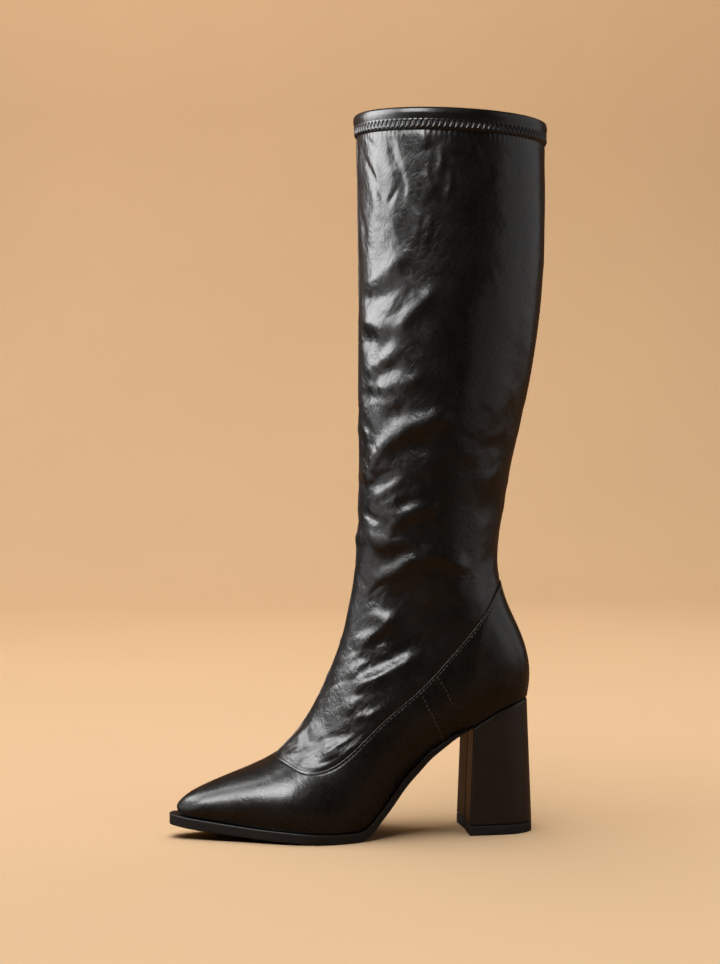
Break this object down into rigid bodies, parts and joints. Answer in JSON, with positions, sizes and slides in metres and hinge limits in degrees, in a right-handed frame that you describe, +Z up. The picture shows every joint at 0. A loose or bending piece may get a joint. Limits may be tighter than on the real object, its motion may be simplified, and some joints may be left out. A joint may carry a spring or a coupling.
{
  "type": "knee-high boot",
  "caption": "Knee-high pull-on boot for the left foot with a pointed toe, a tall block heel and an open collar, standing empty.",
  "frame": {"origin": "on the floor, under the middle of the boot's box", "axes": "+X toward the toe, +Y to the wearer's left, which is the boot's outer side, and +Z up along the leg"},
  "size_m": [0.241, 0.1146, 0.4565],
  "materials": {
    "smooth_leather": "black, smooth, semi-gloss with fine wrinkles",
    "stretch_leather": "black, glossy and softly crinkled",
    "band_leather": "black, satin, with zigzag stitching",
    "sole_rubber": "dark grey-brown, matte",
    "heel_cover": "dark brown-black, satin, smooth",
    "lift_rubber": "black, matte",
    "insole_sock": "dark, matte lining"
  },
  "bodies": {
    "root": {"upper": "smooth_leather", "shaft_outer": "stretch_leather", "shaft_inner": "stretch_leather", "collar_band": "band_leather", "outsole": "sole_rubber", "insole": "insole_sock", "heel_block": "heel_cover", "heel_lift": "lift_rubber"}
  },
  "joints": []
}
